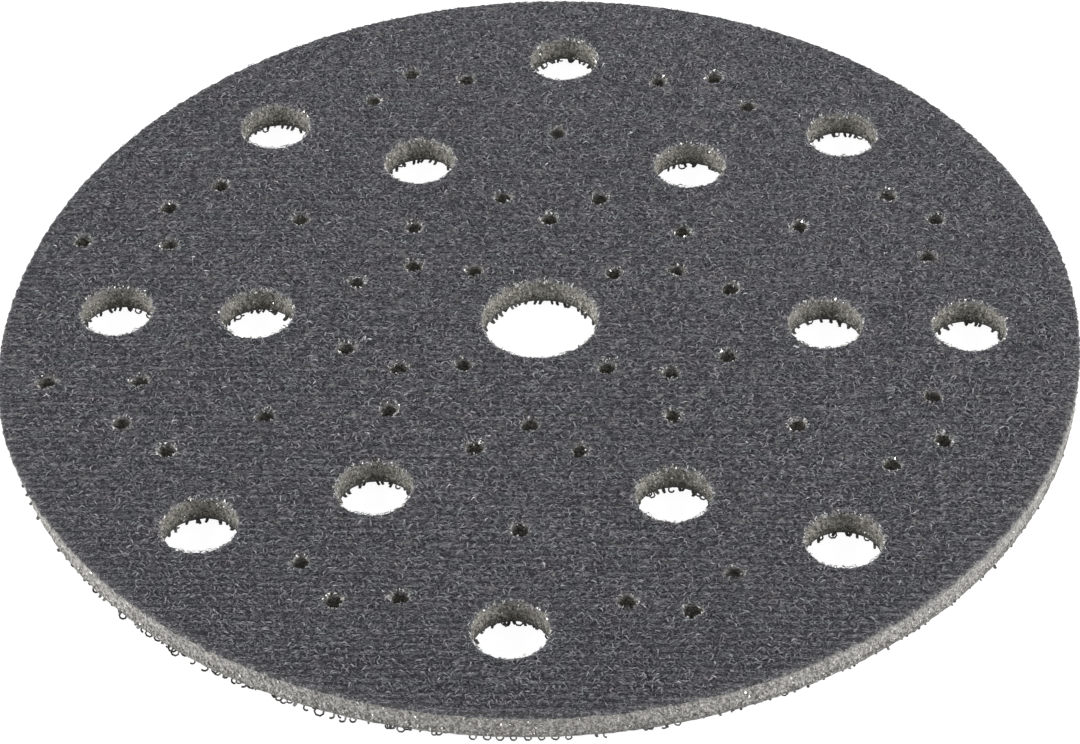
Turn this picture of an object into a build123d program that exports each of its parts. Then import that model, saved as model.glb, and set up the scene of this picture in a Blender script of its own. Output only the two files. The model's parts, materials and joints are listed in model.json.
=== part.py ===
# Sanding interface pad, 150 mm across: a foam disc with a velour face and a hook backing.
# Millimetres, +Z up. The origin is the disc's centre, on the plane of the hook tips.
from build123d import *
import os

os.makedirs("parts", exist_ok=True)

# The disc and its three laminated layers, from the hook tips up
pad_diameter = 150.0
hook_height = 0.85
cloth_thickness = 0.35
foam_thickness = 3.1
velour_thickness = 0.7

# The centre hole, and the two circles of dust holes, which both start on +X
centre_hole_diameter = 16.4
dust_hole_diameter = 10.4
inner_circle_diameter = 80.0
inner_hole_count = 6
outer_circle_diameter = 120.0
outer_hole_count = 8

# The small air holes, of few sides because they are only 3 mm wide
air_hole_width = 2.9
air_hole_side_count = 6
# Each circle of them: its diameter, its number of holes and the angle of the first
air_hole_circles = (
    (28.2, 4, 45.0),
    (43.5, 6, 30.0),
    (55.0, 12, 15.0),
    (83.7, 6, 30.0),
    (113.0, 8, 15.0),
    (113.0, 8, 30.0),
    (120.8, 8, 22.5),
)
# Two more beside the rim, at the same angle above and below -X
rim_hole_inset = 6.0
rim_hole_angle = 12.7

# The hooks stand in bands of three rows along Y, with a bare lane between two bands
hook_lane_width = 1.6
hook_band_pitch = 7.0


def punched_disc():
    """The disc and all its holes, in the sketch that is open."""
    Circle(pad_diameter / 2)
    Circle(centre_hole_diameter / 2, mode=Mode.SUBTRACT)
    with PolarLocations(inner_circle_diameter / 2, inner_hole_count):
        Circle(dust_hole_diameter / 2, mode=Mode.SUBTRACT)
    with PolarLocations(outer_circle_diameter / 2, outer_hole_count):
        Circle(dust_hole_diameter / 2, mode=Mode.SUBTRACT)
    for circle_diameter, hole_count, first_angle in air_hole_circles:
        with PolarLocations(circle_diameter / 2, hole_count, start_angle=first_angle):
            air_hole()
    for rim_angle in (180 - rim_hole_angle, 180 + rim_hole_angle):
        with PolarLocations(pad_diameter / 2 - rim_hole_inset, 1, start_angle=rim_angle):
            air_hole()


def air_hole():
    """A small hole, with a flat side towards the pad's centre."""
    RegularPolygon(
        air_hole_width / 2,
        air_hole_side_count,
        major_radius=False,
        rotation=180 / air_hole_side_count,
        mode=Mode.SUBTRACT,
    )


# Hook backing: a woven ground cloth, and the bands of hooks that stand out of its underside
cloth_bottom = hook_height
foam_bottom = cloth_bottom + cloth_thickness
lane_count = 2 * int(pad_diameter / 2 / hook_band_pitch)
with BuildPart() as hook_backing:
    with BuildSketch(Plane.XY.offset(cloth_bottom)):
        punched_disc()
    extrude(amount=cloth_thickness)
    with BuildSketch():
        punched_disc()
        with GridLocations(hook_band_pitch, 0, lane_count, 1):
            Rectangle(hook_lane_width, pad_diameter + hook_lane_width, mode=Mode.SUBTRACT)
    extrude(amount=hook_height)

# Foam core, bonded to the ground cloth
velour_bottom = foam_bottom + foam_thickness
with BuildPart() as foam_core:
    with BuildSketch(Plane.XY.offset(foam_bottom)):
        punched_disc()
    extrude(amount=foam_thickness)

# Velour face, bonded to the foam
with BuildPart() as velour_face:
    with BuildSketch(Plane.XY.offset(velour_bottom)):
        punched_disc()
    extrude(amount=velour_thickness)

hook_backing.part.label = "hook_backing"
foam_core.part.label = "foam_core"
velour_face.part.label = "velour_face"
export_step(hook_backing.part, "parts/hook_backing.step")
export_step(foam_core.part, "parts/foam_core.step")
export_step(velour_face.part, "parts/velour_face.step")
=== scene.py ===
# Sanding interface pad: a foam disc with a velour face and a hook backing, lying on its hooks
import json
import math
import random

import bmesh
import bpy
from mathutils import Matrix, Vector, noise

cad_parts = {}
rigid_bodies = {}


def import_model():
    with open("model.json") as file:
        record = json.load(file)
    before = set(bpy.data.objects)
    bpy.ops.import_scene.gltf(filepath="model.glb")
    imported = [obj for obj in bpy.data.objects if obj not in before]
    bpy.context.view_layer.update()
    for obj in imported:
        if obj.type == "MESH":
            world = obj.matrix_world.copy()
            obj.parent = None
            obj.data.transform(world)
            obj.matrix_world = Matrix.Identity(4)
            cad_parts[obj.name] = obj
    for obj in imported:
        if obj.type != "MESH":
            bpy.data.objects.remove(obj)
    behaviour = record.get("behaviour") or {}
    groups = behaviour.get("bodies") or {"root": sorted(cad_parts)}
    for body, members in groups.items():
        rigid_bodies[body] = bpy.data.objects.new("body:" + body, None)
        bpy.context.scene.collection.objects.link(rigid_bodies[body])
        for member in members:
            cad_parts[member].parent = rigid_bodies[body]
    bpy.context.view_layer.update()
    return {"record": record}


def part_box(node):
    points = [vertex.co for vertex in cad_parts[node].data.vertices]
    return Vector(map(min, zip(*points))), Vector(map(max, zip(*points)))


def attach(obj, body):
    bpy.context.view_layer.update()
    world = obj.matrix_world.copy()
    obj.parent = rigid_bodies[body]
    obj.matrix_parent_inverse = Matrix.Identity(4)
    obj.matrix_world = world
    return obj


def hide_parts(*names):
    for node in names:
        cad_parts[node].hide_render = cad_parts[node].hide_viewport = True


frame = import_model()
scene = bpy.context.scene
mm = 0.001  # one millimetre in metres


# The camera, as a perspective fit of the rim and the holes gives it
camera = {
    "lens": 112.878,
    "sensor": 36.0,
    "clipStart": 10 * mm,
    "azimuth": 5.233,
    "elevation": 42.353,
    "roll": -2.478,
    "distance": 474.2 * mm,
    "aim": (0.261 * mm, -5.992 * mm, 0.0),
}


def makeCamera(size):
    azimuth, elevation, roll = (math.radians(size[k]) for k in ("azimuth", "elevation", "roll"))
    back = Vector((math.sin(azimuth) * math.cos(elevation),
                   -math.cos(azimuth) * math.cos(elevation),
                   math.sin(elevation)))
    right = (-back).cross(Vector((0, 0, 1))).normalized()
    up = right.cross(-back)
    right, up = (math.cos(roll) * right + math.sin(roll) * up,
                 math.cos(roll) * up - math.sin(roll) * right)
    eye = bpy.data.objects.new("camera", bpy.data.cameras.new("camera"))
    eye.data.lens = size["lens"]
    eye.data.sensor_width = size["sensor"]
    eye.data.clip_start = size["clipStart"]
    place = Matrix((right, up, back)).transposed().to_4x4()
    place.translation = Vector(size["aim"]) + back * size["distance"]
    eye.matrix_world = place
    scene.collection.objects.link(eye)
    scene.camera = eye


makeCamera(camera)
print("camera placed")


# One socket of a node tree, so that maths on it reads as a Python expression
class Wire:
    def __init__(self, graph, socket):
        self.graph = graph
        self.socket = socket

    def __add__(self, other):
        return self.graph.maths("ADD", self, other)

    def __radd__(self, other):
        return self.graph.maths("ADD", other, self)

    def __sub__(self, other):
        return self.graph.maths("SUBTRACT", self, other)

    def __rsub__(self, other):
        return self.graph.maths("SUBTRACT", other, self)

    def __mul__(self, other):
        return self.graph.maths("MULTIPLY", self, other)

    def __rmul__(self, other):
        return self.graph.maths("MULTIPLY", other, self)

    def __truediv__(self, other):
        return self.graph.maths("DIVIDE", self, other)

    def __rtruediv__(self, other):
        return self.graph.maths("DIVIDE", other, self)

    def __gt__(self, other):
        return self.graph.maths("GREATER_THAN", self, other)

    def __lt__(self, other):
        return self.graph.maths("LESS_THAN", self, other)


def socketNamed(sockets, key):
    if isinstance(key, int):
        return sockets[key]
    return next(s for s in sockets if s.name == key and s.enabled)


# A node tree, of a material or of Geometry Nodes
class Graph:
    def __init__(self, tree):
        self.tree = tree

    # A node by its type, its settings, which are set first, and its sockets' values or links
    def add(self, kind, settings=None, sockets=None, output=None):
        made = self.tree.nodes.new(kind)
        for key, value in (settings or {}).items():
            if key == "stops":
                self.fillRamp(made.color_ramp, value)
            else:
                setattr(made, key, value)
        for key, value in (sockets or {}).items():
            socket = socketNamed(made.inputs, key)
            if isinstance(value, Wire):
                self.tree.links.new(value.socket, socket)
            else:
                socket.default_value = value
        if not made.outputs:
            return None
        if output is None:
            return Wire(self, next(s for s in made.outputs if s.enabled))
        return Wire(self, socketNamed(made.outputs, output))

    def fillRamp(self, ramp, stops):
        while len(ramp.elements) < len(stops):
            ramp.elements.new(0.5)
        for element, (position, colour) in zip(ramp.elements, stops):
            element.position = position
            element.color = colour

    def also(self, wire, output):
        return Wire(self, socketNamed(wire.socket.node.outputs, output))

    def maths(self, operation, *values):
        return self.add("ShaderNodeMath", {"operation": operation}, dict(enumerate(values)))

    def vectors(self, operation, *values):
        return self.add("ShaderNodeVectorMath", {"operation": operation}, dict(enumerate(values)))

    def scaled(self, vector, factor):
        return self.add("ShaderNodeVectorMath", {"operation": "SCALE"}, {0: vector, "Scale": factor})

    def length(self, vector):
        return self.add("ShaderNodeVectorMath", {"operation": "LENGTH"}, {0: vector}, output="Value")

    # 0 at low, 1 at high and smooth between them
    def ease(self, value, low, high):
        return self.add("ShaderNodeMapRange", {"interpolation_type": "SMOOTHSTEP"},
                        {"Value": value, "From Min": low, "From Max": high})

    def split(self, vector):
        x = self.add("ShaderNodeSeparateXYZ", {}, {0: vector})
        return x, self.also(x, "Y"), self.also(x, "Z")

    def join(self, x, y, z):
        return self.add("ShaderNodeCombineXYZ", {}, {0: x, 1: y, 2: z})

    def noise(self, vector, scale, detail=2.0, roughness=0.5):
        return self.add("ShaderNodeTexNoise", {}, {"Vector": vector, "Scale": scale,
                                                   "Detail": detail, "Roughness": roughness})


# A material's node tree
class Finish(Graph):
    def __init__(self, name):
        self.material = bpy.data.materials.new(name)
        self.material.use_nodes = True
        super().__init__(self.material.node_tree)
        self.tree.nodes.clear()
        self.place = self.add("ShaderNodeTexCoord", output="Object")

    # Object coordinates in millimetres, with more grains to each along an axis
    def grain(self, x=1.0, y=1.0, z=1.0):
        return self.add("ShaderNodeMapping", {}, {"Vector": self.place, "Scale": (x / mm, y / mm, z / mm)})

    def attribute(self, name):
        return self.add("ShaderNodeAttribute", {"attribute_name": name}, output="Fac")

    def blend(self, factor, a, b, kind="MIX"):
        return self.add("ShaderNodeMix", {"data_type": "RGBA", "blend_type": kind},
                        {0: factor, 6: a, 7: b}, output=2)

    def ramp(self, factor, *stops):
        return self.add("ShaderNodeValToRGB", {"stops": stops}, {"Fac": factor})

    def cells(self, vector, scale):
        return self.add("ShaderNodeTexVoronoi", {}, {"Vector": vector, "Scale": scale})

    def bump(self, height, distance):
        return self.add("ShaderNodeBump", {}, {"Height": height, "Distance": distance, "Strength": 1.0})

    def close(self, shader):
        self.add("ShaderNodeOutputMaterial", {}, {"Surface": shader})
        return self.material

    # The tree's end for all but the floor: one shader with these values or links
    def surface(self, sockets):
        return self.close(self.add("ShaderNodeBsdfPrincipled", {}, sockets))


def newPiece(name, mesh):
    piece = bpy.data.objects.new(name, mesh)
    scene.collection.objects.link(piece)
    return piece


# A Geometry Nodes tree with named inputs
class Builder(Graph):
    def __init__(self, name, **inputs):
        super().__init__(bpy.data.node_groups.new(name, "GeometryNodeTree"))
        kinds = {"geometry": "NodeSocketGeometry", "number": "NodeSocketFloat", "whole": "NodeSocketInt",
                 "collection": "NodeSocketCollection", "material": "NodeSocketMaterial"}
        self.sockets = {}
        for label, kind in {"shape": "geometry", **inputs}.items():
            self.sockets[label] = self.tree.interface.new_socket(
                name=label, in_out="INPUT", socket_type=kinds[kind])
        self.tree.interface.new_socket(name="shape", in_out="OUTPUT", socket_type="NodeSocketGeometry")
        self.source = self.tree.nodes.new("NodeGroupInput")
        self.place = self.add("GeometryNodeInputPosition")
        self.normal = self.add("GeometryNodeInputNormal")

    def given(self, label):
        return Wire(self, self.source.outputs[label])

    def random(self, low, high, seed):
        return self.add("FunctionNodeRandomValue", {"data_type": "FLOAT"},
                        {"Min": low, "Max": high, "Seed": seed})

    # A number for any member of a collection, which is counted round and round
    def anyMember(self, seed):
        return self.add("FunctionNodeRandomValue", {"data_type": "INT"}, {"Min": 0, "Max": 99, "Seed": seed})

    def store(self, geometry, name, value, kind="FLOAT", domain="POINT"):
        return self.add("GeometryNodeStoreNamedAttribute", {"data_type": kind, "domain": domain},
                        {"Geometry": geometry, "Name": name, "Value": value})

    def stored(self, name, kind="FLOAT"):
        return self.add("GeometryNodeInputNamedAttribute", {"data_type": kind}, {"Name": name})

    def shift(self, geometry, offset):
        return self.add("GeometryNodeSetPosition", {}, {"Geometry": geometry, "Offset": offset})

    def drop(self, geometry, selection):
        return self.add("GeometryNodeDeleteGeometry", {"domain": "POINT"},
                        {"Geometry": geometry, "Selection": selection})

    # Stands up along a vector, and is then turned about its own axes
    def aim(self, vector, turn):
        stood = self.add("FunctionNodeAlignRotationToVector", {"axis": "Z"}, {"Vector": vector})
        return self.add("FunctionNodeRotateRotation", {"rotation_space": "LOCAL"},
                        {"Rotation": stood, "Rotate By": turn})

    # One member of a collection on each point
    def scatter(self, points, label, pick, rotation, scale):
        members = self.add("GeometryNodeCollectionInfo", {}, {
            "Collection": self.given(label), "Separate Children": True, "Reset Children": True})
        return self.add("GeometryNodeInstanceOnPoints", {}, {
            "Points": points, "Instance": members, "Pick Instance": True, "Instance Index": pick,
            "Rotation": rotation, "Scale": scale})

    # The tree's end: instances made real, and their material set
    def close(self, instances):
        whole = self.add("GeometryNodeRealizeInstances", {}, {0: instances})
        painted = self.add("GeometryNodeSetMaterial", {}, {
            "Geometry": whole, "Material": self.given("material")})
        self.add("NodeGroupOutput", {}, {0: painted})

    # Runs the tree on a mesh and returns the result as a plain piece
    def run(self, name, mesh, **values):
        carrier = newPiece(name + "Carrier", mesh)
        modifier = carrier.modifiers.new("nodes", "NODES")
        modifier.node_group = self.tree
        for label, value in values.items():
            modifier[self.sockets[label].identifier] = value
        evaluated = carrier.evaluated_get(bpy.context.evaluated_depsgraph_get())
        made = bpy.data.meshes.new_from_object(evaluated)
        carrier.modifiers.remove(modifier)
        bpy.data.objects.remove(carrier)
        made.name = name
        return newPiece(name, made)


def report(pieces):
    for piece in pieces:
        piece.data.calc_loop_triangles()
        print(piece.name + ":", len(piece.data.loop_triangles), "triangles")


def grey(level):
    return (level, level, level, 1)


# A colour by its red, green and blue, from 0 to 255
def tone(red, green, blue):
    return tuple((c / 255 / 12.92 if c <= 10 else ((c / 255 + 0.055) / 1.055) ** 2.4)
                 for c in (red, green, blue)) + (1,)


# Holes: the frame says where the large ones are, and the air holes are given here
airHoles = {
    "radius": 1.36 * mm,
    # diameter of each circle in mm, number of holes, angle of the first
    "circles": ((28.2, 4, 45.0), (43.5, 6, 30.0), (55.0, 12, 15.0), (83.7, 6, 30.0),
                (113.0, 8, 15.0), (113.0, 8, 30.0), (120.8, 8, 22.5)),
    "rimInset": 6.0 * mm,
    "rimAngle": 12.7,
}
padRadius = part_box("foam_core")[1].x
nearRim = padRadius - 1 * mm   # what is further out than this is on the rim


def polar(radius, degrees):
    angle = math.radians(degrees)
    return radius * math.cos(angle), radius * math.sin(angle)


def findHoles():
    mounts = {m["name"]: m["dims"] for m in frame["record"]["mounts"]}
    holes = [(0.0, 0.0, mounts["centre_hole"]["r_mm"] * mm)]
    for name in ("inner_dust_holes", "outer_dust_holes"):
        size = mounts[name]
        for k in range(size["count"]):
            x, y = polar(size["pcd_mm"] / 2 * mm, 360 / size["count"] * k)
            holes.append((x, y, size["hole_r_mm"] * mm))
    for diameter, count, first in airHoles["circles"]:
        for k in range(count):
            x, y = polar(diameter / 2 * mm, first + 360 / count * k)
            holes.append((x, y, airHoles["radius"]))
    for side in (-1, 1):
        x, y = polar(padRadius - airHoles["rimInset"], 180 + side * airHoles["rimAngle"])
        holes.append((x, y, airHoles["radius"]))
    return holes


holes = findHoles()
print("holes:", len(holes))


# The pad isn't a perfect disc: where it is a little out of true, as the angle in degrees, how far
# that reaches to each side of it, and how much it is
shape = {
    "bulges": ((-148, 22, 0.35 * mm), (-30, 22, 0.35 * mm)),
    "overhang": (-163, 17, 0.9 * mm),    # of the velour over the hooks, where the cut is slanted
    "curl": (-98, 35, 0.5 * mm),         # the front edge is this far off the floor
    "bulgeFrom": 66 * mm,
    "curlFrom": 50 * mm,
    "levels": (1.2 * mm, 5.0 * mm),      # heights between which the overhang grows
}


def hill(angle, centre, reach, amount):
    away = (angle - centre + 180) % 360 - 180
    return amount * math.exp(-(away / reach) ** 2)


def smooth(value, low, high):
    t = min(1.0, max(0.0, (value - low) / (high - low)))
    return t * t * (3 - 2 * t)


# Where a point of the perfect disc really is
def settled(x, y, z):
    radius = math.hypot(x, y)
    angle = math.degrees(math.atan2(y, x))
    low, high = shape["levels"]
    out = sum(hill(angle, *bulge) for bulge in shape["bulges"])
    out += hill(angle, *shape["overhang"]) * (z - low) / (high - low)
    out *= smooth(radius, shape["bulgeFrom"], padRadius)
    lift = hill(angle, *shape["curl"]) * smooth(radius, shape["curlFrom"], padRadius)
    return (x * (1 + out / radius), y * (1 + out / radius), z + lift)


# One punched layer as a closed shell. Each loop is a stack of rings, from the upper cap to the lower
# one; profile gives each ring's inset into the material, its height and its mark, which the finish
# reads as the attribute edge, and wander is how far a point then strays
def punchedShell(name, profile, step, wander):
    bm = bmesh.new()
    marks = bm.verts.layers.float.new("edge")
    upper, lower = [], []
    loops = [(0.0, 0.0, padRadius, -1)] + [(x, y, r, 1) for x, y, r in holes]
    for cx, cy, radius, way in loops:
        count = max(14, round(2 * math.pi * radius / step))
        rings = []
        for inset, z, mark in profile:
            ring = []
            for k in range(count):
                angle = 2 * math.pi * k / count
                ux, uy = math.cos(angle), math.sin(angle)
                r = radius + way * inset
                r += way * wander(Vector((cx + r * ux, cy + r * uy, z)), mark, radius)
                ring.append(bm.verts.new(settled(cx + r * ux, cy + r * uy, z)))
                ring[-1][marks] = mark
            rings.append(ring)
        for a, b in zip(rings, rings[1:]):
            for k in range(count):
                n = (k + 1) % count
                bm.faces.new((a[k], b[k], b[n], a[n]) if way < 0 else (a[n], b[n], b[k], a[k]))
        for cap, ring in ((upper, rings[0]), (lower, rings[-1])):
            cap += [bm.edges.get((ring[k], ring[(k + 1) % count])) for k in range(count)]
    for cap, way in ((upper, 1), (lower, -1)):
        bmesh.ops.triangle_fill(bm, use_beauty=True, edges=cap, normal=(0, 0, way))
    bmesh.ops.recalc_face_normals(bm, faces=bm.faces)
    mesh = bpy.data.meshes.new(name)
    bm.to_mesh(mesh)
    bm.free()
    return newPiece(name, mesh)


# Foam core: its cut walls show the cells
foam = {
    "step": 0.36 * mm,
    "rows": 8,
    "dent": 0.24 * mm,
    "cell": 0.55 * mm,
    "fade": 0.3 * mm,                   # beside the fabrics the dents grow from nothing over this
    # each grain of the cut walls: how many to a millimetre, and how much it darkens
    "cells": (2.4, 0.22),
    "fine": (3.4, 0.33),
    "soft": (1.6, 0.2),
    "patches": (0.4, 0.22),
    "shade": 0.28,                      # how dark the wall is without them
    "darkerFrom": 0.76,                   # the wall is darker from this share of the way down
    "darkerBy": 0.45,                  # and by this much
    "relief": 0.16 * mm,
    "light": tone(238, 235, 231),
    "dark": tone(116, 114, 110),
    "shadedHolePale": tone(230, 227, 218),   # inside the holes the same foam takes darker colours, as painted shade of the holes
    "shadedHoleDeep": tone(95, 93, 86),
}


def makeFoam(size):
    low, high = (corner.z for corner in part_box("foam_core"))
    shares = [k / (size["rows"] - 1) for k in range(size["rows"])]
    profile = [(0.0, high + (low - high) * share, share) for share in shares]

    def wander(point, mark, radius):
        inside = min((high - point.z), (point.z - low)) / size["fade"]
        cell = noise.noise(point / size["cell"], noise_basis="VORONOI_F1")
        return min(1.0, max(0.0, inside)) * size["dent"] * (0.55 - cell)

    return punchedShell("foamBody", profile, size["step"], wander)


def foamFinish(size):
    f = Finish("cutFoam")
    place = f.grain()
    cells = f.ease(f.cells(place, size["cells"][0]), 0.08, 0.55)
    fine = f.ease(f.noise(place, size["fine"][0], 1.5), 0.42, 0.58)
    soft = f.ease(f.noise(place, size["soft"][0], 1.0), 0.36, 0.64)
    patches = f.noise(place, size["patches"][0], 1.0) - 0.5
    # Darker towards the bottom of each wall
    darkerBelow = f.ease(f.attribute("edge") + (soft - 0.5) * 0.16, size["darkerFrom"], 1.0) * size["darkerBy"]
    depth = (cells * size["cells"][1] + fine * size["fine"][1] + soft * size["soft"][1]
             + patches * size["patches"][1] + size["shade"] + darkerBelow * (fine + 0.2))
    onRim = f.ease(f.length(f.place), padRadius - 2 * mm, nearRim)
    # Painted shade: the walls inside the holes take the darker pair of colours, and the rim the paler one
    shadedInHoles = f.blend(depth, size["shadedHolePale"], size["shadedHoleDeep"])
    atRim = f.blend(depth, size["light"], size["dark"])
    return f.surface({
        "Base Color": f.blend(onRim, shadedInHoles, atRim), "Roughness": 0.62,
        "Normal": f.bump(1 - depth, size["relief"]), "Specular IOR Level": 0.3})


foamBody = makeFoam(foam)
foamBody.data.materials.append(foamFinish(foam))
report([foamBody])


# Velour face: the cloth that carries the pile, with a rounded, slightly ragged cut edge
velour = {
    "step": 0.34 * mm,
    "round": 0.30 * mm,
    "foot": 0.05 * mm,                 # the cut edge stands out by this where it meets the foam
    "sink": 0.16 * mm,                 # the pile stands this far above the cloth that carries it
    "border": 0.9 * mm,                # how far the pile is disturbed from the edge
    "ragged": 0.27 * mm,
    "raggedAir": 0.34 * mm,            # round the air holes
    "raggedSize": 0.6 * mm,
    "courseDepth": 0.08,               # how much darker it is between two courses
    "wall": (4.80 * mm, 4.35 * mm),    # the cut edge turns pale from the one height to the other
    "wallWander": 1.5 * mm,
    "wallPale": 0.8,                   # how pale it gets
    "facePale": 0.10,                  # and how pale the face beside it
    "relief": 0.2 * mm,
    "deep": tone(46, 46, 49),
    "body": tone(90, 90, 95),
    "pale": tone(150, 150, 153),
    "edge": tone(172, 170, 167),
}


def makeVelour(size):
    low, high = (corner.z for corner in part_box("velour_face"))
    top = high - size["sink"]
    turn = size["round"]
    profile = [(turn + size["border"], top, 0.0)]   # marked 0 on the face and 1 on the cut edge
    for degrees in (90, 45, 0):
        angle = math.radians(degrees)
        profile.append((turn * (1 - math.cos(angle)), top - turn * (1 - math.sin(angle)), 1.0))
    profile.append((-size["foot"], low, 1.0))

    def wander(point, mark, radius):
        ragged = size["raggedAir"] if radius == airHoles["radius"] else size["ragged"]
        return mark * ragged * noise.noise(point / size["raggedSize"])

    return punchedShell("velourFace", profile, size["step"], wander)


# Courses of the knit, which run along X
knit = {
    "pitch": 1.215 * mm,
    "slant": 0.02,                     # how much they climb along X
    "wander": 0.9,                     # and how far they wander, in pitches
    "least": 0.3,                      # how plainly they show at the back on the right
    "more": 0.6,                       # and how much more plainly in front and on the left
    "between": (-90 * mm, 50 * mm),    # from there to here, as distances towards the front left
    "blur": 30 * mm,
}


# Where a place is in its course, as an angle, and how plainly the courses show there
def courses(graph, place, pitch):
    x, y = graph.split(place)[:2]
    forward = 0 - x * 0.6 - y + graph.noise(place, 40.0) * knit["blur"]
    plain = graph.ease(forward, *knit["between"]) * knit["more"] + knit["least"]
    wave = (graph.noise(graph.join(x * 0.25, y, 0.0), 350.0, 1.0) - 0.5) * knit["wander"]
    return ((y - x * knit["slant"]) / pitch + wave) * (2 * math.pi), plain


def velourFinish(size):
    f = Finish("velourCloth")
    streak = f.noise(f.grain(1.2, 4.2, 2.0), 1.0, 2.0, 0.6)
    curl = f.noise(f.grain(3.2, 4.0, 3.0), 1.0, 2.0, 0.6)
    phase, plain = courses(f, f.place, knit["pitch"])
    valley = 0.5 - f.maths("COSINE", phase) * 0.5
    depth = f.ease(streak * 0.5 + curl * 0.5 - valley * plain * size["courseDepth"], 0.32, 0.62)
    colour = f.ramp(depth, (0.0, size["deep"]), (0.55, size["body"]), (1.0, size["pale"]))
    wander = (f.noise(f.grain(1.1, 1.1, 0.5), 1.0, 3.0) - 0.5) * size["wallWander"]
    wall = f.ease(f.split(f.place)[2] + wander, *size["wall"])
    colour = f.blend(f.ease(f.attribute("edge"), 0.3, 1.4) * size["facePale"], colour, size["edge"])
    colour = f.blend(wall * size["wallPale"], colour, size["edge"])
    return f.surface({
        "Base Color": colour, "Roughness": 0.85, "Normal": f.bump(depth, size["relief"]),
        "Specular IOR Level": 0.2})


velourFace = makeVelour(velour)
velourFace.data.materials.append(velourFinish(velour))
report([velourFace])


# A closed strand: a tube of few sides along points, with a radius at each; 0 gives a pole
def strand(name, path, radii, sides=3):
    bm = bmesh.new()
    path = [Vector(p) for p in path]
    rings = []
    for i, (point, radius) in enumerate(zip(path, radii)):
        if radius == 0:
            rings.append([bm.verts.new(point)])
            continue
        along = (path[min(i + 1, len(path) - 1)] - path[max(i - 1, 0)]).normalized()
        side = Vector((0, 1, 0)) if abs(along.y) < 0.9 else Vector((0, 0, 1))
        across = along.cross(side).normalized()
        other = along.cross(across)
        rings.append([bm.verts.new(point + radius * (math.cos(2 * math.pi * k / sides) * across
                                                     + math.sin(2 * math.pi * k / sides) * other))
                      for k in range(sides)])
    for a, b in zip(rings, rings[1:]):
        for k in range(sides):
            corners = [a[k % len(a)], a[(k + 1) % len(a)], b[(k + 1) % len(b)], b[k % len(b)]]
            bm.faces.new(list(dict.fromkeys(corners)))
    for ring, way in ((rings[0], 1), (rings[-1], -1)):
        if len(ring) > 1:
            bm.faces.new(ring[::way])
    bmesh.ops.recalc_face_normals(bm, faces=bm.faces)
    mesh = bpy.data.meshes.new(name)
    bm.to_mesh(mesh)
    bm.free()
    return bpy.data.objects.new(name, mesh)


def gather(name, members):
    collection = bpy.data.collections.new(name)
    for member in members:
        collection.objects.link(member)
    return collection


def discard(collection):
    for member in list(collection.objects):
        bpy.data.objects.remove(member)
    bpy.data.collections.remove(collection)


# Pile of the velour: curly strands that lie mostly along X, in rows at the left and in front
pile = {
    "seed": 11,
    "shapes": 14,
    "length": 0.84 * mm,
    "thickness": 0.175 * mm,
    "strips": (-1.1, -0.41, 0.0, 0.41, 1.1),   # across X in radii, with as many strands in each
    "rimWidth": 1.5 * mm,                      # the strands on it have a size of their own
    "drawn": (0.17, 0.26),                     # into each course, and into every second, in pitches
    "sizes": (0.7, 1.35),
    "tilt": 0.16,
    "roll": 1.2,
    "onFace": {
        "density": 8.0 / mm / mm,
        "apart": 0.265 * mm,    # least distance between the roots of two strands
        "lift": 0.12 * mm,      # most that a strand stands off the cloth
        "size": 1.0,
        "rimSize": 0.6,
        "steepest": 0.98,       # they grow where the cloth's normal has a Z between these two
        "flattest": 1.1,
        "spread": 2.4,          # how far they turn off the courses, in radians
        "lean": 0.0,
        "paler": 0.0,
        "lint": 0.002,          # share of strands that are white
    },
    # the fringe, pressed and frayed by the punch
    "onEdges": {
        "density": 14.5 / mm / mm,
        "apart": 0.2 * mm,
        "lift": 0.02 * mm,
        "size": 0.66,
        "rimSize": 0.38,
        "steepest": 0.05,
        "flattest": 0.97,
        "spread": 6.3,
        "lean": -0.25,
        "paler": 0.22,
        "lint": 0.22,
    },
    "deep": tone(58, 58, 63),
    "body": tone(109, 109, 115),
    "pale": tone(172, 172, 176),
    "white": grey(0.75),
}


def pileShapes(size):
    draw = random.Random(size["seed"])
    shapes = []
    for k in range(size["shapes"]):
        curly = k % 7 == 6
        stations = 5 if curly else (4 if k % 7 == 0 else 3)
        length = size["length"] * draw.uniform(0.7, 1.3)
        bend = draw.uniform(-0.5, 0.5) * length * (1.0 if curly else 0.6)
        swing = draw.uniform(-0.25, 0.25) * length
        rise = draw.uniform(0.06, 0.16) * length
        path, radii = [], []
        for i in range(stations):
            t = i / (stations - 1)
            path.append(((t - 0.5) * length * (0.6 if curly else 1.0),
                         bend * math.sin(math.pi * t) + swing * math.sin(2 * math.pi * t),
                         rise * math.sin(math.pi * t)))
            radii.append(0 if i in (0, stations - 1) else 0.5 * size["thickness"])
        shapes.append(strand("pileStrand%02d" % k, path, radii))
    return gather("pileStrands", shapes)


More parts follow.
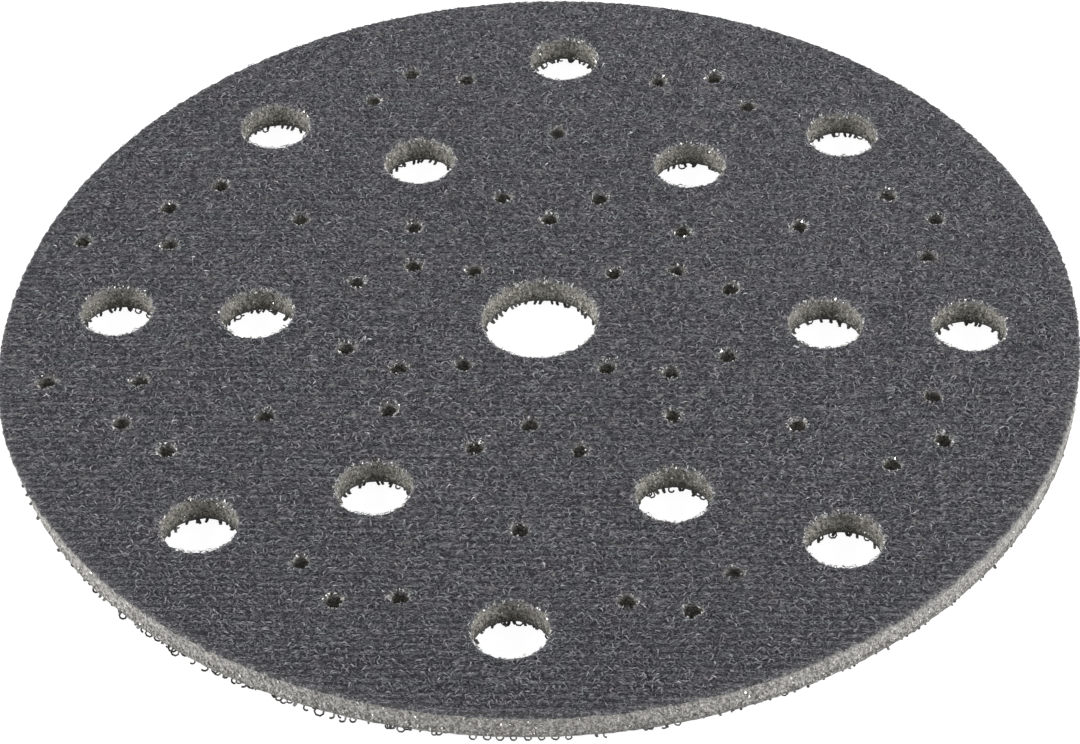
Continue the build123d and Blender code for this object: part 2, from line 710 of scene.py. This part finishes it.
def pileTree(size):
    b = Builder("pileTree", strands="collection", density="number", apart="number", seed="whole",
                coursePitch="number", lift="number", size="number", rimSize="number", steepest="number",
                flattest="number", fromX="number", toX="number", spread="number", lean="number",
                paler="number", lint="number", material="material")
    slope = b.split(b.normal)[2]
    chosen = (slope > b.given("steepest")) * (slope < b.given("flattest"))
    points = b.add("GeometryNodeDistributePointsOnFaces", {"distribute_method": "POISSON"},
                   {"Mesh": b.given("shape"), "Selection": chosen, "Density Max": b.given("density"),
                    "Distance Min": b.given("apart"), "Seed": b.given("seed")})
    facing = b.also(points, "Normal")
    x = b.split(b.place)[0]
    # The strands are drawn together into courses
    phase, plain = courses(b, b.place, b.given("coursePitch"))
    every, second = size["drawn"]
    pull = b.maths("SINE", phase) * every + b.maths("SINE", phase * 0.5) * second
    drawn = b.join(0.0, pull * b.given("coursePitch") * plain * (-1.0), 0.0)
    lifted = b.random(0.0, 1.0, 5)
    moved = b.shift(points, b.vectors("ADD", drawn, b.scaled(facing, lifted * b.given("lift"))))
    kept = b.drop(moved, 1 - (x > b.given("fromX")) * (x < b.given("toX")))
    onRim = b.length(b.place) > padRadius - size["rimWidth"]
    yaw = (b.random(-0.5, 0.5, 1) + b.random(-0.5, 0.5, 2)) * (b.given("spread") * (1.3 - plain * 0.65))
    pitch = b.random(-size["tilt"], size["tilt"], 3) + b.given("lean")
    roll = b.random(-size["roll"], size["roll"], 4)
    scale = b.given("size") + onRim * (b.given("rimSize") - b.given("size"))
    placed = b.scatter(kept, "strands", b.anyMember(6), b.aim(facing, b.join(roll, pitch, yaw)),
                       b.random(*size["sizes"], 7) * scale)
    # Each has its own shade, and a few are white lint. A strand that stands further off the cloth is painted
    # paler: painted light on the top of the pile, painted shade near the cloth
    shade = b.random(0.0, 1.0, 8) * 0.6 + lifted * 0.3 + b.given("paler")
    lint = (b.random(0.0, 1.0, 9) < b.given("lint") * (1 - onRim * 0.7)) * 0.9
    b.close(b.store(placed, "shade", shade + lint, domain="INSTANCE"))
    return b


def pileFinish(size):
    f = Finish("velourPile")
    colour = f.ramp(f.attribute("shade"), (0.0, size["deep"]), (0.45, size["body"]),
                    (0.9, size["pale"]), (1.0, size["white"]))
    # Soft patches that are a little greener, bluer or redder
    tint = f.ramp(f.noise(f.grain(), 0.35, 2.0), (0.34, (0.93, 1.0, 0.985, 1)),
                  (0.5, (1.0, 0.985, 1.02, 1)), (0.66, (1.06, 0.98, 0.985, 1)))
    return f.surface({
        "Base Color": f.blend(1.0, colour, tint, "MULTIPLY"), "Roughness": 0.7,
        "Specular IOR Level": 0.35})


def makePile(size):
    tree = pileTree(size)
    shapes = pileShapes(size)
    shared = {"strands": shapes, "coursePitch": knit["pitch"], "material": pileFinish(size)}
    edges = [padRadius * share for share in size["strips"]]
    made = []
    for k, (fromX, toX) in enumerate(zip(edges, edges[1:])):
        made.append(tree.run("velourPile%d" % (k + 1), velourFace.data, seed=size["seed"], fromX=fromX,
                             toX=toX, **shared, **size["onFace"]))
    made.append(tree.run("velourFringe", velourFace.data, seed=size["seed"] + 1, fromX=-1.0, toX=1.0,
                         **shared, **size["onEdges"]))
    discard(shapes)
    return made


pilePieces = makePile(pile)
report(pilePieces)


# Crumbs: torn cell walls of the foam that stand out of its cuts and catch the light
crumbs = {
    "seed": 3,
    "shapes": 5,
    "size": 0.43 * mm,
    "smallest": 0.45,            # as a share of that
    "range": 1.1,                # and how much more the largest has
    "steepest": 0.6,             # they are on walls, whose normals have no more Z than this
    "onFoam": 1.2 / mm / mm,
    "onVelour": 4.6 / mm / mm,   # pulled up by the punch into the velour's edge at the holes
    "pulled": 0.34 * mm,         # how far up
    "pulledSize": 1.1,           # and how much larger they are
    "dull": tone(200, 198, 190),
    "bright": tone(254, 254, 252),
}


def crumbTree(size):
    b = Builder("crumbTree", flakes="collection", density="number", reach="number", pulled="number",
                size="number", seed="whole", material="material")
    slope = b.split(b.normal)[2]
    upright = (slope < size["steepest"]) * (slope > -size["steepest"])
    chosen = upright * (b.length(b.place) < b.given("reach"))
    points = b.add("GeometryNodeDistributePointsOnFaces", {"distribute_method": "RANDOM"},
                   {"Mesh": b.given("shape"), "Selection": chosen, "Density": b.given("density"),
                    "Seed": b.given("seed")})
    points = b.shift(points, b.join(0.0, 0.0, b.random(0.0, 1.0, 8) * b.given("pulled")))
    turned = b.join(b.random(0.0, 6.3, 3), b.random(0.0, 6.3, 4), b.random(0.0, 6.3, 5))
    fate = b.random(0.0, 1.0, 6)
    placed = b.scatter(points, "flakes", b.anyMember(2), turned,
                       (size["smallest"] + fate * fate * size["range"]) * b.given("size"))
    b.close(b.store(placed, "shade", b.random(0.0, 1.0, 7), domain="INSTANCE"))
    return b


def crumbShapes(size):
    draw = random.Random(size["seed"])
    half = size["size"] / 2
    flakes = []
    for k in range(size["shapes"]):
        middle = (0, half * draw.uniform(-0.5, 0.5), half * draw.uniform(0.2, 0.7))
        flakes.append(strand("crumb%d" % k, [(-half, 0, 0), middle, (half, 0, 0)],
                             [0, half * draw.uniform(0.5, 0.8), 0]))
    return gather("crumbs", flakes)


def crumbFinish(size):
    f = Finish("tornFoam")
    colour = f.ramp(f.attribute("shade"), (0.3, size["dull"]), (0.9, size["bright"]))
    return f.surface({
        "Base Color": colour, "Roughness": 0.28, "Metallic": 0.3, "Specular IOR Level": 0.8})


def makeCrumbs(size):
    tree = crumbTree(size)
    flakes = crumbShapes(size)
    material = crumbFinish(size)
    made = [tree.run("foamCrumbs", foamBody.data, flakes=flakes, density=size["onFoam"],
                     reach=2 * padRadius, pulled=0.0, size=1.0, seed=size["seed"], material=material),
            tree.run("edgeCrumbs", velourFace.data, flakes=flakes, density=size["onVelour"],
                     reach=nearRim, pulled=size["pulled"], size=size["pulledSize"],
                     seed=size["seed"] + 1, material=material)]
    discard(flakes)
    return made


crumbPieces = makeCrumbs(crumbs)
report(crumbPieces)


# Ground cloth of the hook backing, a flat weave
cloth = {
    "step": 0.5 * mm,
    "thickness": 0.35 * mm,
    "ragged": 0.13 * mm,
    "raggedSize": 0.7 * mm,
    "threads": (("X", 0.6), ("Y", 0.9)),   # across each axis, and how many to a millimetre
    "relief": 0.1 * mm,
    "dark": tone(62, 62, 63),
    "light": tone(108, 108, 108),
    "cut": tone(140, 138, 134),            # of the broken threads at the rim
    "cutDepth": 0.05 * mm,
}


def makeCloth(size):
    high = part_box("hook_backing")[1].z

    def wander(point, mark, radius):
        return size["ragged"] * noise.noise(point / size["raggedSize"])

    profile = [(0.0, high, 1.0), (0.0, high - size["thickness"], 1.0)]
    return punchedShell("groundCloth", profile, size["step"], wander)


def clothFinish(size):
    f = Finish("groundWeave")
    warp, weft = (f.add("ShaderNodeTexWave", {"bands_direction": axis},
                        {"Vector": f.grain(), "Scale": scale, "Distortion": 0.6})
                  for axis, scale in size["threads"])
    thread = warp * 0.5 + weft * 0.5
    colour = f.blend(thread, size["dark"], size["light"])
    broken = f.ease(f.noise(f.grain(), 1.1, 2.0, 0.6), 0.36, 0.56)
    atRim = f.length(f.place) > padRadius - size["cutDepth"]
    colour = f.blend(atRim * broken, colour, size["cut"])
    return f.surface({
        "Base Color": colour, "Roughness": 0.7, "Normal": f.bump(thread, size["relief"])})


groundCloth = makeCloth(cloth)
groundCloth.data.materials.append(clothFinish(cloth))
report([groundCloth])


# Hooks: loops of monofilament in rows, most of them whole and some cut open
hooks = {
    "seed": 5,
    "height": 0.85 * mm,
    "width": 0.92 * mm,
    "wire": 0.13 * mm,
    "root": 0.1 * mm,                # how far a hook goes up into the cloth
    "pitchX": 1.69 * mm,
    "pitchY": 1.83 * mm,
    "jitter": (0.12 * mm, 0.06 * mm),
    "turn": 2.3,                     # the rows lie this many degrees off the holes' X axis
    "firstX": 0.0 * mm,              # where one hook of each row stands
    "firstY": 0.42 * mm,             # how far the outermost row is inside the rim
    "margin": 0.09 * mm,
    "sideMargin": 0.45 * mm,         # more of it where the edge faces along the rows
    "rowLean": 0.5,                  # how far the rows lean towards -Y, for each unit of height
    "frontRow": (-6 * mm, 11 * mm),  # between these the outermost row itself stands at the rim
    # Odd hooks along every cut edge
    "edgePitch": 1.0 * mm,
    "edgeInset": 0.50 * mm,          # most that one stands inside the edge of the rim
    "holeInset": 0.45,               # and in a hole, as a share of that
    "edgeJitter": (0.5 * mm, 0.08 * mm),
    "edgeKept": 0.8,                 # share of those at the rim that are left
    "edgeLean": 0.45,                # how far they lean out over the edge
    "looseLean": 0.7,                # and more than that on the left of the rim, from here to there
    "loose": (6 * mm, 22 * mm),
    "wornLean": 0.25,                # and more on the right of it
    "worn": (12 * mm, 36 * mm),
    "holeLean": 0.3,                 # and more in the holes
    # Share of them that is matted: anywhere on the rim, more on its right, more at its left end
    "matted": 0.15,
    "mattedRight": 0.8,
    "mattedLeft": 0.75,
    "leftEnd": (46 * mm, 56 * mm),
    "mattedHoles": 0.85,
    "shorter": 0.25,                 # the right of the rim, where hooks are shorter by this
    "short": (15 * mm, 45 * mm),
    "colour": tone(88, 88, 85),
    "deep": tone(50, 50, 47),
}


# The tree picks a hook by its number in the order of their names: 6 loops, 4 open, 2 stubs, 4 matted
def hookShapes(size):
    draw = random.Random(size["seed"])
    height, wire, root = size["height"], size["wire"], size["root"]
    shapes = []
    for k in range(6):  # whole loops, both legs in the cloth
        half = size["width"] / 2 * draw.uniform(0.85, 1.15)
        drop = height * draw.uniform(0.86, 1.0) - wire
        path = [(-half * 0.8, 0, root)]
        for degrees in (198, 245, 295, 342):
            angle = math.radians(degrees)
            path.append((half * math.cos(angle), 0.06 * mm * draw.uniform(-1, 1),
                         -drop + half * (1 + math.sin(angle)) * 0.9))
        path.append((half * 0.8, 0, root))
        shapes.append(strand("hook0Loop%d" % k, path, [wire] * len(path)))
    for k in range(4):  # cut loops, a stem with a curled tip
        half = size["width"] / 2 * draw.uniform(0.7, 1.0)
        drop = height * draw.uniform(0.8, 0.98) - wire
        path = [(-half * 0.7, 0, root), (-half, 0, -drop * 0.5)]
        for degrees in (205, 240, 275, 310, 350)[:draw.choice((3, 4, 5))]:
            angle = math.radians(degrees)
            path.append((half * math.cos(angle), 0, -drop + half * (1 + math.sin(angle)) * 0.9))
        shapes.append(strand("hook1Open%d" % k, path, [wire] * len(path)))
    for k in range(4):  # matted ones, short and thick with a bent tip
        side = draw.choice((-1, 1))
        drop = height * draw.uniform(0.72, 0.88)
        path = [(0, 0, root), (side * 0.08 * mm, 0, -drop * 0.45), (side * 0.24 * mm, 0, -drop * 0.85),
                (side * draw.uniform(0.0, 0.3) * mm, 0, -drop)]
        thick = draw.uniform(0.8, 1.2)
        radii = [0.30 * mm * thick, 0.28 * mm * thick, 0.20 * mm, 0]
        shapes.append(strand("hook3Matted%d" % k, path, radii))
    for k in range(2):  # stubs
        drop = height * draw.uniform(0.35, 0.6)
        path = [(0, 0, root), (0.05 * mm, 0, -drop * 0.5), (0.16 * mm * draw.choice((-1, 1)), 0, -drop)]
        shapes.append(strand("hook2Stub%d" % k, path, [wire] * 3))
    return gather("hookShapes", shapes)


def hookTree(size):
    b = Builder("hookTree", shapes="collection", reachX="number", reachY="number", countX="whole",
                countY="whole", shiftX="number", turn="number", margin="number", sideMargin="number",
                rowLean="number", edgePitch="number", edgeInset="number", edgeLean="number",
                looseLean="number", rootHeight="number", fromY="number", toY="number",
                material="material")
    x, y, z = b.split(b.place)
    onRim = b.length(b.place) > nearRim
    # The field: a grid of points that is turned and set on the cloth, clear of its edges
    grid = b.add("GeometryNodeMeshGrid", {}, {
        "Size X": b.given("reachX"), "Size Y": b.given("reachY"),
        "Vertices X": b.given("countX"), "Vertices Y": b.given("countY")})
    points = b.add("GeometryNodeMeshToPoints", {}, {"Mesh": grid})
    jitterX, jitterY = size["jitter"]
    jittered = b.shift(points, b.join(b.given("shiftX") + b.random(-jitterX, jitterX, 1),
                                      b.random(-jitterY, jitterY, 2), b.given("rootHeight")))
    moved = b.add("GeometryNodeTransform", {}, {
        "Geometry": jittered, "Rotation": b.join(0.0, 0.0, b.given("turn"))})
    walls = b.add("GeometryNodeSeparateGeometry", {"domain": "FACE"}, {
        "Geometry": b.given("shape"), "Selection": b.maths("ABSOLUTE", b.split(b.normal)[2]) < 0.5})
    near = b.add("GeometryNodeProximity", {"target_element": "FACES"}, {0: walls}, output="Position")
    away = b.vectors("SUBTRACT", near, b.place)
    sideways = b.maths("ABSOLUTE", b.split(away)[0])
    clear = b.length(away)
    landing = b.add("GeometryNodeRaycast", {}, {
        "Target Geometry": b.given("shape"), "Source Position": b.join(x, y, z - 0.4 * mm),
        "Ray Direction": (0, 0, 1), "Ray Length": 1.5 * mm}, output="Hit Position")
    inside = b.also(landing, "Is Hit")
    landed = b.add("GeometryNodeSetPosition", {}, {
        "Geometry": moved, "Selection": inside, "Position": landing})
    needed = b.given("margin") + b.given("sideMargin") * sideways / (clear + 0.001 * mm)
    field = b.drop(landed, 1 - inside * (clear > needed))
    rowLean = b.join(0.0, 0 - b.given("rowLean"), 0.0)
    field = b.store(field, "lean", rowLean, "FLOAT_VECTOR")
    # Odd ones follow every cut edge, just inside it
    captured = b.add("GeometryNodeCaptureAttribute", {}, {"Geometry": b.given("shape")})
    capture = captured.socket.node
    capture.capture_items.new("VECTOR", "facing")
    b.tree.links.new(b.normal.socket, capture.inputs["facing"])
    lowEdge = (b.add("GeometryNodeInputMeshEdgeAngle") > 1.0) * (b.split(b.normal)[2] < 0.0)
    line = b.add("GeometryNodeMeshToCurve", {}, {"Mesh": captured, "Selection": lowEdge})
    spots = b.add("GeometryNodeCurveToPoints", {"mode": "LENGTH"},
                  {"Curve": line, "Length": b.given("edgePitch")})
    outX, outY = b.split(Wire(b, capture.outputs["facing"]))[:2]
    outward = b.vectors("NORMALIZE", b.join(outX, outY, 0.0))
    outX, outY = b.split(outward)[:2]
    depth = b.random(-1.0, -0.1, 9) * b.given("edgeInset")
    depth = depth * (size["holeInset"] + onRim * (1 - size["holeInset"]))
    inset = b.scaled(outward, depth - b.maths("ABSOLUTE", outX) * b.given("sideMargin") * 0.5)
    jitterX, jitterY = size["edgeJitter"]
    jitter = b.join(b.random(-jitterX, jitterX, 10), b.random(-jitterY, jitterY, 12), 0.0)
    # They lean outwards, and are worn and matted in some places
    worn = b.ease(x, *size["worn"])
    loose = onRim * b.ease(0 - x, *size["loose"]) * b.given("looseLean")
    more = (1 - onRim) * size["holeLean"] + onRim * worn * size["wornLean"]
    lean = b.random(0.1, 1.0, 11) * (b.given("edgeLean") + loose) + more
    lean = lean * b.ease(0 - outY, 0.1, 0.6)
    share = onRim * (worn * size["mattedRight"] + b.ease(0 - x, *size["leftEnd"]) * size["mattedLeft"]
                     + size["matted"])
    matted = b.random(0.0, 1.0, 13) < share + (1 - onRim) * size["mattedHoles"]
    edged = b.store(spots, "lean", b.scaled(outward, lean), "FLOAT_VECTOR")
    edged = b.store(edged, "matted", matted)
    edged = b.shift(edged, b.vectors("ADD", inset, jitter))
    fromX, toX = size["frontRow"]
    atRow = onRim * (x > fromX) * (x < toX) * (y < 0.0)
    edged = b.drop(edged, atRow + onRim * (b.random(0.0, 1.0, 14) > size["edgeKept"]))
    joined = b.add("GeometryNodeJoinGeometry")
    for part in (edged, field):
        b.tree.links.new(part.socket, joined.socket.node.inputs[0])
    kept = b.drop(joined, 1 - (y > b.given("fromY")) * (y < b.given("toY")))
    # Loops, open ones and stubs in the field, whole loops alone in its front row, and the matted ones
    pick = b.random(0.0, 12.0, 3)
    pick = pick - (y < -nearRim) * pick * 0.5
    pick = pick + b.stored("matted") * (b.random(12.0, 16.0, 15) - pick)
    axis = b.vectors("SUBTRACT", (0, 0, 1), b.stored("lean", "FLOAT_VECTOR"))
    longer = b.length(axis)
    turn = b.random(-0.16, 0.16, 4) + (b.random(0.0, 1.0, 5) > 0.5) * math.pi + b.given("turn")
    tilt = b.join(b.random(-0.12, 0.12, 6), b.random(-0.12, 0.12, 7), turn)
    scale = (b.random(0.88, 1.0, 8) * longer * (1.15 - longer * 0.15)
             * (1 - b.ease(x, *size["short"]) * onRim * size["shorter"]))
    b.close(b.scatter(kept, "shapes", pick, b.aim(axis, tilt), scale))
    return b


def hookFinish(size):
    f = Finish("hookFilament")
    patch = f.noise(f.grain(), 1.5, 2.0)
    colour = f.ramp(patch, (0.3, size["deep"]), (0.7, size["colour"]))
    return f.surface({
        "Base Color": colour, "Roughness": 0.35 + patch * 0.1, "Specular IOR Level": 0.5})


def makeHooks(size):
    tree = hookTree(size)
    shapes = hookShapes(size)
    countX = 2 * int(padRadius / size["pitchX"]) + 1
    reachY = 2 * (padRadius - size["firstY"])
    shared = {name: size[name] for name in ("margin", "sideMargin", "rowLean", "edgePitch", "edgeInset",
                                            "edgeLean", "looseLean")}
    shared.update(shapes=shapes, reachX=(countX - 1) * size["pitchX"], reachY=reachY, countX=countX,
                  countY=round(reachY / size["pitchY"]) + 1, shiftX=size["firstX"],
                  turn=math.radians(size["turn"]), material=hookFinish(size),
                  rootHeight=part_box("hook_backing")[1].z - cloth["thickness"])
    made = [tree.run("gripHooks" + name, groundCloth.data, fromY=fromY, toY=toY, **shared)
            for name, fromY, toY in (("Front", -1.0, 0.0), ("Back", 0.0, 1.0))]
    discard(shapes)
    return made


hookPieces = makeHooks(hooks)
report(hookPieces)


# Floor and light
stage = {
    "floorSize": 6.0,
    "floorGlow": 0.94,        # what the camera sees of the floor is white
    "floorColour": 0.25,      # and so pale under the glow that the shadow shows
    "floorBounce": 0.75,      # how pale it is to the object
    "worldStrength": 0.25,
    "lampSize": 0.6,
    # each lamp's place in metres and its power
    "lamps": (("lampLeft", (-0.93, -0.25, 0.38), 11.0), ("lampRight", (0.93, -0.25, 0.38), 9.3),
              ("lampBehind", (0.0, 0.9, 0.7), 1.8)),
}


def makeFloor(size):
    half = size["floorSize"] / 2
    mesh = bpy.data.meshes.new("floor")
    corners = [(-half, -half, 0), (half, -half, 0), (half, half, 0), (-half, half, 0)]
    mesh.from_pydata(corners, [], [(0, 1, 2, 3)])
    f = Finish("floorPaper")
    path = f.add("ShaderNodeLightPath", output="Is Camera Ray")
    seen = f.maths("MAXIMUM", path, f.also(path, "Is Glossy Ray"))
    seen = f.maths("MAXIMUM", seen, f.also(path, "Is Transmission Ray"))
    plain = f.add("ShaderNodeBsdfDiffuse", {}, {"Color": grey(size["floorColour"])})
    glow = f.add("ShaderNodeEmission", {}, {"Color": grey(1.0), "Strength": size["floorGlow"]})
    both = f.add("ShaderNodeAddShader", {}, {0: plain, 1: glow})
    solid = f.add("ShaderNodeBsdfDiffuse", {}, {"Color": grey(size["floorBounce"])})
    mesh.materials.append(f.close(f.add("ShaderNodeMixShader", {}, {0: seen, 1: solid, 2: both})))
    newPiece("floor", mesh)


def makeLight(size):
    world = bpy.data.worlds.new("studio")
    scene.world = world
    world.use_nodes = True
    background = world.node_tree.nodes["Background"]
    background.inputs["Color"].default_value = grey(1.0)
    background.inputs["Strength"].default_value = size["worldStrength"]
    for name, place, power in size["lamps"]:
        lamp = bpy.data.objects.new(name, bpy.data.lights.new(name, "AREA"))
        lamp.data.energy = power
        lamp.data.size = size["lampSize"]
        lamp.location = place
        lamp.rotation_euler = (-Vector(place)).to_track_quat("-Z", "Y").to_euler()
        scene.collection.objects.link(lamp)


makeFloor(stage)
makeLight(stage)
scene.view_settings.view_transform = "Standard"
print("floor and light set")


# What each piece rides on
for piece in [foamBody, velourFace, groundCloth] + pilePieces + crumbPieces + hookPieces:
    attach(piece, "root")
for piece in [velourFace] + pilePieces:
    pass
for piece in [groundCloth] + hookPieces:
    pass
for piece in [foamBody] + crumbPieces:
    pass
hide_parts("foam_core")
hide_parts("velour_face")
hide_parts("hook_backing")

cutArea = math.pi * (padRadius ** 2 - sum(r * r for x, y, r in holes))
